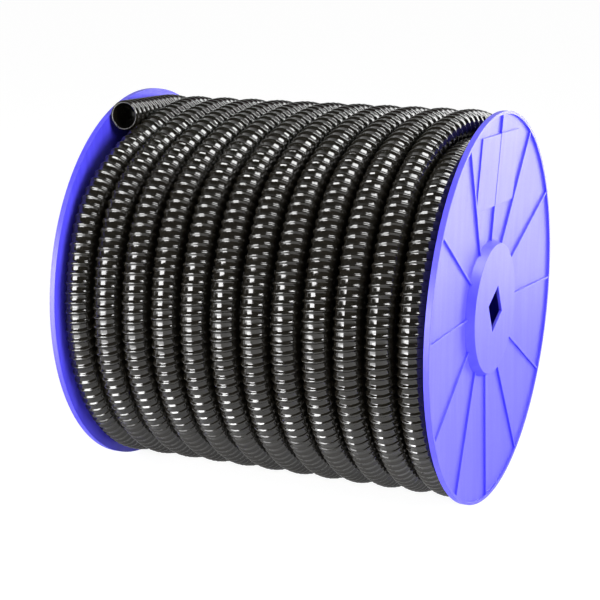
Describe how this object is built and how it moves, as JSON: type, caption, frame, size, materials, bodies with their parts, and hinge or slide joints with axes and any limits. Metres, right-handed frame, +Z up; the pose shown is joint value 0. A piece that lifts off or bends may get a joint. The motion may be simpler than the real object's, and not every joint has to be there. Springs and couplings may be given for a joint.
{
  "type": "reel of corrugated conduit",
  "caption": "Spirally ribbed round conduit wound in even layers on a moulded reel with two ribbed flanges and a square spindle hole.",
  "frame": {"origin": "on the floor under the middle of the reel, between the two flanges", "axes": "+X along the reel's axle towards the flange that shows its outer face, +Z up, -Y towards the front"},
  "size_m": [0.4024, 0.4, 0.4007],
  "materials": {
    "reel_plastic": "satin violet-blue moulded polypropylene",
    "conduit_plastic": "glossy black extruded PVC"
  },
  "bodies": {
    "root": {"flange_left": "reel_plastic", "flange_right": "reel_plastic", "barrel": "reel_plastic", "inner_windings": "conduit_plastic", "conduit": "conduit_plastic"}
  },
  "joints": []
}
